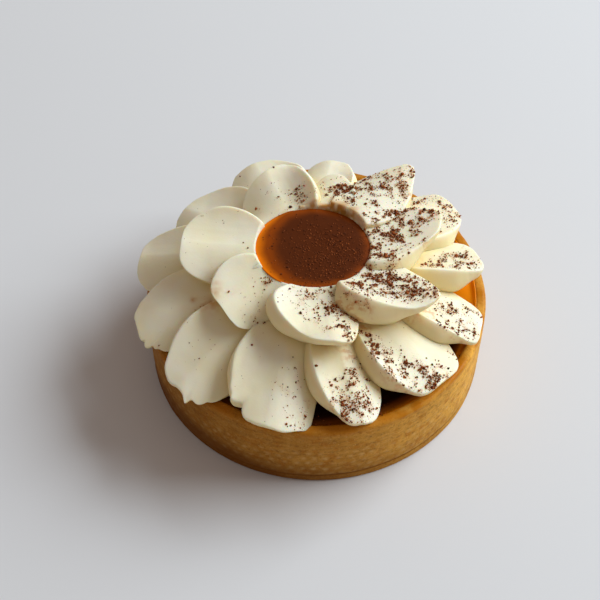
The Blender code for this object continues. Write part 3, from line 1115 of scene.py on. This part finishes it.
@dataclass
class CaramelPool:
    """The pool of caramel and the room that the cream leaves for it."""

    x: float = -0.9
    y: float = 0.6
    half_width: float = 13.0
    half_depth: float = 11.7
    top: float = 36.4
    slope: float = 0.35
    depth: float = 3.0
    flare: float = 3.0
    flare_rise: float = 8.0
    overlap: float = 0.4
    inland: float = 12.8        # from the shore in to the first ring
    uneven: float = 0.16        # how far the shore strays from an oval
    ripples: tuple[Ripple, ...] = (Ripple(22, 4.0, 0.07), Ripple(23, 1.2, 0.02))
    shallows: OneSided = OneSided(2.4, 4.2, 185.0, 62.0)
    clear_side: OneSided = OneSided(0.36, 0.64, 185.0, 75.0)
    sides: int = 240

    def shore(self, angle: Array) -> Array:
        """The pool's radius at each bearing: an oval, a little uneven.

        Args:
            angle: Bearings from its middle.

        Returns:
            Distances from its middle.
        """
        turn = np.radians(angle)
        oval = 1.0 / np.hypot(np.cos(turn) / self.half_width, np.sin(turn) / self.half_depth)
        return oval + self.uneven * SoftNoise(21).round_at(angle, 11.0)

    def polar(self, points: Array) -> tuple[Array, Array]:
        """Distance from the pool's middle and bearing, in degrees, of each point."""
        return polar(points, self.x, self.y)

    def shore_rings(self, profile: Array, sides: int) -> Array:
        """Rings that follow the shore.

        Args:
            profile: Rows of (distance outside the shore, height).
            sides: Points in each ring.

        Returns:
            An array of rings, points and x, y, z.
        """
        turns = np.linspace(0.0, 360.0, sides, endpoint=False)
        reach = np.maximum(self.shore(turns) + profile[:, :1], 0.05)
        x = self.x + reach * np.cos(np.radians(turns))
        y = self.y + reach * np.sin(np.radians(turns))
        return np.stack([x, y, profile[:, 1:] + turns * 0.0], axis=-1)

    def press(self, points: Array) -> Array:
        """Lower cream that stands in the pool's room.

        Args:
            points: Places in the tart's axes.

        Returns:
            The same places, none of them above the room's side.
        """
        reach, angle = self.polar(points)
        edge = self.top - self.slope
        leaning = edge + (reach - self.shore(angle)) * self.flare_rise / self.flare
        pressed = points.copy()
        pressed[..., 2] = soft_min(points[..., 2], np.maximum(leaning, edge - self.depth), 0.8)
        return pressed

    def build(self, cocoa: "CocoaSprinkle") -> Piece:
        """Make the pool.

        Args:
            cocoa: The cocoa that falls on it.

        Returns:
            The pool.
        """
        inland = np.linspace(self.inland, -self.overlap, 60)
        fall = self.slope * (1.0 - np.clip(inland / self.inland, 0.0, 1.0)) ** 6
        top = np.stack([-inland, self.top - fall], axis=-1)
        bottom = self.top - self.depth
        side = line((self.overlap, self.top - self.slope - 1.0), (self.overlap - 0.5, bottom), 5)
        under = line((-1.0, bottom), (-12.6, bottom), 4)
        rings = self.shore_rings(np.concatenate([top, side, under]), self.sides)
        upper = rings[..., 2] > self.top - self.slope - 0.9
        rings[..., 2] += upper * sum(ripple.at(rings) for ripple in self.ripples)
        reach, angle = self.polar(rings)
        depth = np.clip((self.shore(angle) - reach) / self.shallows.at(angle), 0.0, 1.0)
        thin = (1.0 - depth) ** 1.4 * self.clear_side.at(angle)
        values = {"thin": thin, "specks": cocoa.pool_amount(rings)}
        return Surface(rings, values).to_object("caramel_pool", CARAMEL.build())


@dataclass
class CreamFlower:
    """Both rings of petals and the mound under them, whose collar holds the pool."""

    pool: CaramelPool
    cocoa: "CocoaSprinkle"
    smears_and_shade: tuple["SoftSpot", ...]
    bed: float = 33.1
    foot: float = 18.8
    wave_size: float = 4.0
    wave_height: float = 0.2
    halo_width: float = 1.2
    halo_side: OneSided = OneSided(0.0, 1.1, 72.0, 52.0)
    collar: tuple[tuple[float, float], ...] = (
        (0.3, 34.8), (0.1, 35.1), (0.4, 35.3), (0.9, 35.3),
        (1.8, 34.8), (3.0, 33.2), (4.6, 27.0), (7.2, 21.0))

    def values(self, rings: Array, wall: Array) -> dict[str, Array]:
        """Named values of one piece of cream.

        Args:
            rings: Its rings.
            wall: How much each ring belongs to a side wall, from 0 to 1.

        Returns:
            Values by name, one for each point.
        """
        reach, angle = self.pool.polar(rings)
        # the tint along the back shore: toffee soaked into the collar, partly painted shade on the shaded
        # wall there
        halo = bell((reach - self.pool.shore(angle)) / self.halo_width) * self.halo_side.at(angle)
        smear_and_shade = halo + sum(spot.share(rings) for spot in self.smears_and_shade)
        return {
            "dusting": self.cocoa.amount(rings),
            "wall": wall[:, None] + rings[..., 2] * 0.0,
            "smear_and_shade": np.clip(smear_and_shade * ease(0.7 + 0.8 * SoftNoise(33).at(rings, 0.9)), 0.0, 1.0),
        }

    def mound(self, cream: Finish) -> Piece:
        """Make the mound that carries the upper ring and holds the pool in its collar.

        Args:
            cream: The cream's material.

        Returns:
            The mound.
        """
        steps = [line((-12.0, self.bed), (0.3, self.bed), 6)]
        for before, after in zip(self.collar, self.collar[1:]):
            steps.append(line(before, after, 5))
        steps.append(line(self.collar[-1], (7.2, self.foot), 4))
        steps.append(line((7.2, self.foot), (-12.0, self.foot), 3))
        profile = np.concatenate(steps)
        rings = self.pool.shore_rings(profile, 240)
        outside = ease(profile[:, 0] - 0.3)[:, None]
        waves = outside * self.wave_height * SoftNoise(31).at(rings, self.wave_size)
        rings = rings + ring_normals(rings) * waves[..., None]
        wall = ease((profile[:, 0] - 2.0) / 2.0)
        return Surface(rings, self.values(rings, wall)).to_object("cream_mound", cream)

    def petals(self, cream: Finish) -> dict[str, Piece]:
        """Make every petal.

        Args:
            cream: The cream's material.

        Returns:
            Petals by the name of the node that each stands for.
        """
        made = {}
        for prefix, ring in (("petal_outer", OUTER_RING), ("petal_inner", INNER_RING)):
            for number, petal in enumerate(ring, start=1):
                node = f"{prefix}_{number:02d}"
                rings = petal.rings()
                if prefix == "petal_inner":
                    rings = self.pool.press(rings)
                surface = Surface(rings, self.values(rings, petal.wall_share()))
                made[node] = surface.to_object(f"cream_{node}", cream)
        return made


# ---- Cocoa ----


@dataclass(frozen=True)
class SoftSpot:
    """A place seen from above where something lies thickly, fading outwards."""

    x: float
    y: float
    reach: float
    amount: float = 1.0

    def share(self, points: Array) -> Array:
        """How thickly it lies at each point."""
        return self.amount * bell(polar(points, self.x, self.y)[0] / self.reach)


def soft_spots(*rows: tuple[float, float, float, float]) -> tuple[SoftSpot, ...]:
    """Spots from plain rows of x, y, reach and amount."""
    return tuple(SoftSpot(*row) for row in rows)


COCOA_SPOTS = soft_spots(
    # upper ring: the right-hand front petal
    (8, -10.5, 1.8, 0.7), (11, -8.5, 2.2, 1.2), (14.5, -8, 2.4, 1.1), (17.5, -8.5, 2.4, 1),
    (20.5, -10, 2.4, 0.8), (23.5, -11.5, 2, 0.7), (26, -13, 1.6, 0.9), (10, -11.5, 1.8, 1.1),
    (13.5, -11.5, 2.2, 0.8), (17.5, -12, 2.4, 0.7), (21.5, -13, 2.2, 0.8),
    # the right-hand petal, thickest along the valley behind it
    (12, 8.4, 0.9, 2.4), (14, 8.8, 0.9, 2.4), (16, 9.5, 0.9, 2.4), (18, 10.6, 0.9, 2.4), (20, 11.8, 0.9, 2.2),
    (22, 13, 1, 1.8), (12.5, 4.5, 2.4, 0.8), (16, 5.5, 2.6, 1.2), (19.5, 7.5, 2.4, 1.2), (23, 9, 2.2, 1),
    (26, 10.5, 2.2, 1.1), (12, 0.5, 2.2, 0.9), (15.5, 1, 2.4, 0.8), (19, 2.5, 2.2, 0.7), (12.8, -3.5, 2, 1.4),
    (16.5, -3, 2.2, 0.9), (22.5, 4.5, 1.6, 0.4),
    # the pointed petal behind it
    (6, 20, 1.8, 0.5), (8.5, 18.5, 2, 0.9), (11.5, 20.5, 2.2, 0.5), (14, 19.5, 2.2, 0.5),
    (16.5, 21.5, 2, 0.5), (19.5, 22.5, 1.8, 0.9), (22, 23, 1.6, 1.2), (13, 16.5, 2.4, 0.45),
    (17, 17.5, 2.2, 0.4), (20, 19, 2, 0.8), (9.5, 14.5, 1.6, 0.9), (13, 12.5, 1.6, 0.5), (21.5, 16, 1.8, 0.7),
    (19, 14.5, 1.6, 0.6),
    # the small back petal and its left neighbour
    (1, 15.5, 1.3, 0.8), (3, 15, 1.4, 1.2), (5, 15.8, 1.4, 1.4), (7.2, 16.8, 1.3, 1.3), (3.3, 18.5, 2, 0.7),
    (6.5, 19, 1.6, 0.5), (8, 13.6, 1.2, 0.9), (-5, 17.6, 1.3, 0.4), (-3.5, 15, 1.4, 0.35),
    (-8.5, 16, 3.5, 0.1),
    # the front petals of the upper ring
    (3, -16.5, 2.2, 0.5), (6.5, -17, 2, 0.9), (6, -21.5, 2.4, 0.7), (7.5, -24, 1.6, 0.7),
    (4, -21.5, 2.4, 0.45), (0.5, -19.5, 3, 0.25), (1.5, -13.5, 2.2, 0.45), (-2.5, -14, 3, 0.3),
    (8.5, -19.5, 1.4, 1), (-10.8, -8.6, 1.3, 0.6), (-13, -16, 4, 0.06),
    # lower ring, right-hand side
    (26.5, 23.5, 1.8, 0.5), (30, 22, 1.8, 0.7), (32.5, 20, 1.8, 0.8), (33.5, 17, 1.6, 0.7),
    (32, 14.5, 1.6, 0.6), (34, 4.5, 1.8, 1.1), (36.5, 2.5, 1.6, 0.9), (30.5, 3, 1.6, 0.9),
    (28, 1.2, 1.6, 0.8), (25.5, 0, 1.6, 0.8), (32.5, 1, 1.8, 0.5), (29.5, -9, 1.6, 0.8),
    (32, -10.5, 1.8, 0.6), (34, -12.5, 1.6, 0.6), (35.5, -15, 1.6, 0.5), (29.5, -14.5, 1.4, 0.9),
    (32.5, -16, 1.4, 0.8), (28, -15.5, 1, 0.7), (36, -18, 1.4, 0.4),
    # lower ring, right-hand front
    (10.5, -18, 1.5, 0.9), (12, -21, 1.6, 1.1), (13.5, -24, 1.8, 1.1), (17, -25, 2, 1), (20, -26, 2, 0.9),
    (23.5, -26.5, 2, 0.7), (26.5, -27, 2, 0.9), (28.5, -25.5, 1.6, 0.8), (16.5, -29, 2, 0.5),
    (20.5, -30, 2.2, 0.6), (25, -30, 2.2, 0.8), (29, -29.5, 1.8, 0.6), (21, -33, 2, 0.3),
    # lower ring, front
    (8.5, -27.5, 1.6, 1.1), (9.5, -30.5, 1.6, 0.8), (6.5, -31.5, 1.8, 0.6), (8, -34, 2, 0.7),
    (4.5, -35.5, 2, 0.6), (9, -37.5, 2, 0.7), (5.5, -38.5, 2, 0.7), (11, -35, 1.6, 0.5), (3, -32, 1.8, 0.2),
    (-6, -31, 3, 0.15), (-3, -36.5, 3.5, 0.2), (-1, -39.5, 2.5, 0.25), (-20, -20, 12, 0.012),
    (-20, 10, 12, 0.01),
    # the toffee beside the petals
    (36, -7, 2, 0.3), (14.5, -34.5, 1.2, 0.7), (31.5, -19, 2, 0.4),
)

POOL_SPOTS = soft_spots(
    (5, 0, 7, 1), (-1, 0.5, 8, 0.6), (1, -7, 6, 0.4),
)

# toffee stains on the cream; those behind the pool and in the gap under the left inner petal stand partly for
# painted shade
TOFFEE_SMEARS_AND_SHADE = soft_spots(
    (-24.2, -10.7, 2.2, 0.9), (-28.2, -8.2, 0.7, 0.8), (3.5, 12.9, 1.6, 0.3), (6.5, 12.3, 1.6, 0.45),
    (8.8, 10.8, 1.6, 0.4), (7.2, -13.5, 2, 0.3), (8.2, -16.5, 1.8, 0.2),
)


class GrainKind(Enum):
    """Kinds of cocoa grain, each sprinkled as a piece of its own; the specks lie on the pool."""

    DUST = "cocoa_dust"
    SPECKS = "cocoa_specks"
    CRUMBS = "cocoa_crumbs"
    CLUMPS = "cocoa_clumps"


@dataclass(frozen=True)
class Grain:
    """What one kind of grain is like."""

    per_square_mm: float    # how many lie where the cocoa is thick
    smallest: float         # radius
    largest: float
    detail: int             # subdivisions of the ball that each grain starts from
    seed: int
    layer: str = "dusting"  # the value on the pieces that says where they fall


GRAINS = {
    GrainKind.DUST: Grain(7.0, 0.04, 0.08, 1, 3),
    GrainKind.SPECKS: Grain(6.5, 0.08, 0.21, 1, 11, "specks"),
    GrainKind.CRUMBS: Grain(6.0, 0.08, 0.17, 1, 5),
    GrainKind.CLUMPS: Grain(1.9, 0.17, 0.38, 1, 8),
}


# the sprinkling tree's inputs and their socket types
TREE_INPUTS = {
    "Dusted Pieces": "Collection",
    "Dusting Layer": "String",
    "Grains per Square Metre": "Float",
    "Smallest Radius": "Float",
    "Largest Radius": "Float",
    "Detail": "Int",
    "Seed": "Int",
}


class GrowingTree(NodeGraph):
    """A geometry tree with named inputs, and short methods for its nodes."""

    def __init__(self, name: str) -> None:
        """Start an empty tree that takes and gives geometry.

        Args:
            name: The tree's name.
        """
        super().__init__(bpy.data.node_groups.new(name, "GeometryNodeTree"))
        for way in ("INPUT", "OUTPUT"):
            self.tree.interface.new_socket("Geometry", in_out=way, socket_type="NodeSocketGeometry")
        self.start = self.node("NodeGroupInput")
        self.end = self.node("NodeGroupOutput")
        for label, kind in TREE_INPUTS.items():
            self.tree.interface.new_socket(label, in_out="INPUT", socket_type=f"NodeSocket{kind}")

    def given(self, label: str) -> Socket:
        """The value of a named input, inside the tree."""
        return self.start.outputs[label]

    def vector_math(self, operation: str, first: object, second: object) -> Socket:
        """Result of a math node on two vectors, as values or links."""
        return self.result("ShaderNodeVectorMath", {0: first, 1: second}, operation=operation)

    def scaled(self, vector: Socket, factor: object) -> Socket:
        """A vector times a number."""
        return self.result("ShaderNodeVectorMath", {0: vector, "Scale": factor}, operation="SCALE")

    def chance(self, low: float, high: float, seed: object) -> Socket:
        """A random number for each item, between low and high.

        Args:
            low: Its least value.
            high: Its greatest value.
            seed: The seed, as a value or link.

        Returns:
            The number's output.
        """
        made = self.node("FunctionNodeRandomValue", data_type="FLOAT")
        least, most, _, number = [socket for socket in made.inputs if socket.enabled]
        for socket, value in ((least, low), (most, high), (number, seed)):
            self.feed(socket, value)
        return next(socket for socket in made.outputs if socket.enabled)

    def chances(self, low: float, high: float, first_seed: int) -> Socket:
        """Three random numbers for each item, as a vector; their seeds follow one another."""
        axes = {axis: self.chance(low, high, first_seed + step) for step, axis in enumerate("XYZ")}
        return self.result("ShaderNodeCombineXYZ", axes)

    def read(self, label: object) -> Socket:
        """A number that the geometry carries under this name."""
        return self.result("GeometryNodeInputNamedAttribute", {"Name": label}, data_type="FLOAT")

    def store(self, geometry: Socket, label: str, value: Socket) -> Socket:
        """Geometry whose instances carry a number under this name."""
        return self.result("GeometryNodeStoreNamedAttribute",
                           {"Geometry": geometry, "Name": label, "Value": value},
                           data_type="FLOAT", domain="INSTANCE")


@dataclass
class CocoaSprinkle:
    """Cocoa that fell from above, mostly on the right: grains lie where the surface faces up,
    under open sky, and keep together in clumps.
    """

    spots: tuple[SoftSpot, ...] = COCOA_SPOTS
    pool_spots: tuple[SoftSpot, ...] = POOL_SPOTS
    sky_reach: float = 30.0     # how far up something may hang and still keep cocoa off
    sky_gap: float = 0.3        # where the look upwards starts, over the surface
    steepest: float = 0.5       # upward share of the surface's direction where cocoa starts to lie
    flattest: float = 0.85      # and where it lies in full
    small_share: float = 2.5    # power that makes most grains small
    least_stretch: float = 0.55
    most_stretch: float = 1.25
    perch: float = 0.35         # how far a grain's middle stands off, as a share of its radius
    lump_size: float = 0.22
    unevenness: float = 0.35    # how rough a grain is, as a share of its size

    def amount(self, points: Array) -> Array:
        """How thickly cocoa lies at each point: 0 is none and 1 is thick.

        Args:
            points: Places on the surface.

        Returns:
            A value for each place.
        """
        total = sum(spot.share(points) for spot in self.spots)
        drifts = ease(0.42 + Ripple(61, 2.3, 0.6).at(points) + Ripple(62, 1.1, 1.3).at(points))
        return total * (0.10 + 1.9 * drifts)

    def pool_amount(self, points: Array) -> Array:
        """How thickly specks lie at each point of the pool."""
        total = sum(spot.share(points) for spot in self.pool_spots)
        return total * (0.7 + Ripple(63, 1.6, 0.5).at(points))

    def fallen(self, tree: GrowingTree) -> tuple[Socket, Socket]:
        """Scatter points where cocoa lies: where the surface faces up, under open sky.

        Args:
            tree: The tree to add the nodes to.

        Returns:
            The points, and the surface's direction at each.
        """
        ground = tree.result("GeometryNodeCollectionInfo", {"Collection": tree.given("Dusted Pieces")})
        ground = tree.result("GeometryNodeRealizeInstances", {0: ground})
        facing = tree.result("GeometryNodeInputNormal")
        level = tree.result("ShaderNodeMapRange", {
            "Value": tree.node("ShaderNodeSeparateXYZ", {0: facing}).outputs["Z"],
            "From Min": self.steepest, "From Max": self.flattest})
        density = tree.math("MULTIPLY", tree.read(tree.given("Dusting Layer")), level)
        density = tree.math("MULTIPLY", density, tree.given("Grains per Square Metre"))
        points = tree.node("GeometryNodeDistributePointsOnFaces", {
            "Mesh": ground, "Density": density, "Seed": tree.given("Seed")})
        normal = points.outputs["Normal"]
        start = tree.vector_math("ADD", tree.result("GeometryNodeInputPosition"),
                                 tree.scaled(normal, self.sky_gap * MM))
        look = tree.node("GeometryNodeRaycast", {
            "Target Geometry": ground, "Source Position": start,
            "Ray Direction": (0.0, 0.0, 1.0), "Ray Length": self.sky_reach * MM})
        open_sky = tree.result("GeometryNodeDeleteGeometry", {
            "Geometry": points.outputs["Points"], "Selection": look.outputs["Is Hit"]})
        return open_sky, normal

    def tree(self, material: Finish) -> bpy.types.NodeTree:
        """Make the geometry tree that sprinkles grains on a collection's pieces.

        Args:
            material: The grains' finish.

        Returns:
            The tree, with an input for each of TREE_INPUTS.
        """
        tree = GrowingTree("cocoa_sprinkle")
        points, normal = self.fallen(tree)
        smallest = tree.given("Smallest Radius")
        extra = tree.math("SUBTRACT", tree.given("Largest Radius"), smallest)
        draw = tree.math("POWER", tree.chance(0.0, 1.0, tree.given("Seed")), self.small_share)
        radius = tree.math("ADD", smallest, tree.math("MULTIPLY", extra, draw))
        perch = tree.scaled(normal, tree.math("MULTIPLY", radius, self.perch))
        perched = tree.result("GeometryNodeSetPosition", {"Geometry": points, "Offset": perch})
        ball = tree.result("GeometryNodeMeshIcoSphere", {"Radius": 1.0, "Subdivisions": tree.given("Detail")})
        grains = tree.result("GeometryNodeInstanceOnPoints", {
            "Points": perched, "Instance": ball,
            "Rotation": tree.chances(0.0, 2.0 * math.pi, 11),
            "Scale": tree.scaled(tree.chances(self.least_stretch, self.most_stretch, 21), radius)})
        grains = tree.store(grains, "tone", tree.chance(0.0, 1.0, 31))
        grains = tree.store(grains, "radius", radius)
        solid = tree.result("GeometryNodeRealizeInstances", {0: grains})
        lumps = tree.node("ShaderNodeTexNoise", {"Scale": 1.0 / (self.lump_size * MM), "Detail": 1.0})
        lump = tree.vector_math("SUBTRACT", lumps.outputs["Color"], (0.5, 0.5, 0.5))
        # the noise strays by half of 1 either way, and a grain is twice its radius wide
        push = tree.scaled(lump, tree.math("MULTIPLY", tree.read("radius"), 2.0 * self.unevenness * 2.0))
        rough = tree.result("GeometryNodeSetPosition", {"Geometry": solid, "Offset": push})
        dressed = tree.result("GeometryNodeSetMaterial", {"Geometry": rough, "Material": material})
        tree.feed(tree.end.inputs[0], dressed)
        return tree.tree

    def build(self, kind: GrainKind, tree: bpy.types.NodeTree, pieces: bpy.types.Collection,
              material: Finish) -> Piece:
        """Sprinkle one kind of grain and turn the result into a plain mesh.

        Args:
            kind: Which grains.
            tree: The sprinkling tree.
            pieces: The pieces that they fall on.
            material: The grains' finish.

        Returns:
            All its grains, as one object.
        """
        grain = GRAINS[kind]
        holder = placed(f"{kind.value}_holder", bpy.data.meshes.new(f"{kind.value}_seed"))
        modifier = holder.modifiers.new("Sprinkle", "NODES")
        modifier.node_group = tree
        wanted = {
            "Dusted Pieces": pieces,
            "Dusting Layer": grain.layer,
            "Grains per Square Metre": grain.per_square_mm / (MM * MM),
            "Smallest Radius": grain.smallest * MM,
            "Largest Radius": grain.largest * MM,
            "Detail": grain.detail,
            "Seed": grain.seed,
        }
        for item in tree.interface.items_tree:
            if item.in_out == "INPUT" and item.name in wanted:
                modifier[item.identifier] = wanted[item.name]
        evaluated = holder.evaluated_get(bpy.context.evaluated_depsgraph_get())
        grown = bpy.data.meshes.new_from_object(evaluated)
        holder.modifiers.clear()
        bpy.data.objects.remove(holder, do_unlink=True)
        return finished_object(kind.value, grown, material)

    def sprinkle(self, pieces: list[Piece]) -> None:
        """Sprinkle every kind of grain on these pieces.

        Args:
            pieces: What the cocoa falls on.
        """
        dusted = bpy.data.collections.new("dusted")
        for piece in pieces:
            dusted.objects.link(piece)
        material = CocoaFinish().build()
        tree = self.tree(material)
        for kind in GrainKind:
            settle(self.build(kind, tree, dusted, material), "cocoa")
        bpy.data.collections.remove(dusted)


# ---- Studio ----


@dataclass
class Studio:
    """A plain pale floor, soft light from the upper right and the photo's camera."""

    elevation: float = 51.9
    distance: float = 400.0
    focal_pixels: float = 1701.0
    frame_pixels: float = 600.0
    aim: tuple[float, float, float] = (-3.8, -2.1, 20.0)
    sensor_width: float = 36.0
    nearest: float = 10.0
    farthest: float = 10000.0
    floor_color: Color = (0.72, 0.72, 0.72)
    floor_roughness: float = 0.75
    floor_reach: float = 2000.0
    window_place: tuple[float, float, float] = (920.0, 360.0, 800.0)
    window_size: tuple[float, float] = (1100.0, 700.0)
    window_power: float = 21.5
    window_color: Color = (0.84, 0.93, 1.0)
    air_color: Color = (1.0, 0.84, 0.76)
    air_strength: float = 0.28

    def camera(self) -> None:
        """Make the camera and set it as the scene's."""
        data = bpy.data.cameras.new("camera")
        data.sensor_width = self.sensor_width
        data.lens = self.sensor_width * self.focal_pixels / self.frame_pixels
        data.clip_start = self.nearest * MM
        data.clip_end = self.farthest * MM
        camera = placed("camera", data)
        rise = math.radians(self.elevation)
        back = Vector((0.0, -math.cos(rise), math.sin(rise)))
        camera.location = (Vector(self.aim) + back * self.distance) * MM
        camera.rotation_euler = (math.pi / 2.0 - rise, 0.0, 0.0)
        bpy.context.scene.camera = camera

    def floor(self) -> None:
        """Make the floor."""
        mesh = bpy.data.meshes.new("floor")
        body = bmesh.new()
        bmesh.ops.create_grid(body, x_segments=2, y_segments=2, size=self.floor_reach * MM)
        body.to_mesh(mesh)
        body.free()
        finish = ShaderNodes("floor").dress(Base_Color=self.floor_color, Roughness=self.floor_roughness)
        floor = finished_object("floor", mesh, finish)
        floor.location.z = -0.01 * MM

    def window(self) -> None:
        """Hang the one large lamp, which points at the tart."""
        data = bpy.data.lights.new("window", "AREA")
        data.shape = "RECTANGLE"
        data.size, data.size_y = (side * MM for side in self.window_size)
        data.energy = self.window_power
        data.color = self.window_color
        lamp = placed("window", data)
        lamp.location = Vector(self.window_place) * MM
        lamp.rotation_euler = Vector(self.window_place).to_track_quat("Z", "Y").to_euler()

    def air(self) -> None:
        """Set the brightness that comes from all sides, and how the picture is shown."""
        world = bpy.data.worlds.new("studio")
        world.use_nodes = True
        background = world.node_tree.nodes["Background"]
        background.inputs["Color"].default_value = (*self.air_color, 1.0)
        background.inputs["Strength"].default_value = self.air_strength
        bpy.context.scene.world = world
        bpy.context.scene.view_settings.view_transform = "Standard"

    def build(self) -> None:
        """Set the whole studio up."""
        self.camera()
        self.floor()
        self.window()
        self.air()


def main() -> None:
    """Dress the tart, piece by piece."""
    logging.basicConfig(level=logging.INFO, format="%(name)s: %(message)s")
    Studio().build()
    cocoa = CocoaSprinkle()
    settle(ShortcrustShell().build(), "crust", "shell")
    filling = ToffeeFilling().build(cocoa)
    settle(filling, "toffee", "filling")
    pool = CaramelPool()
    flower = CreamFlower(pool, cocoa, TOFFEE_SMEARS_AND_SHADE)
    cream = CreamFinish().build()
    mound = flower.mound(cream)
    settle(mound, "cream", "mound")
    petals = flower.petals(cream)
    for node, petal in petals.items():
        settle(petal, "cream", node)
    caramel = pool.build(cocoa)
    settle(caramel, "caramel", "pool")
    cocoa.sprinkle([filling, mound, caramel, *petals.values()])


if __name__ == "__main__":
    main()
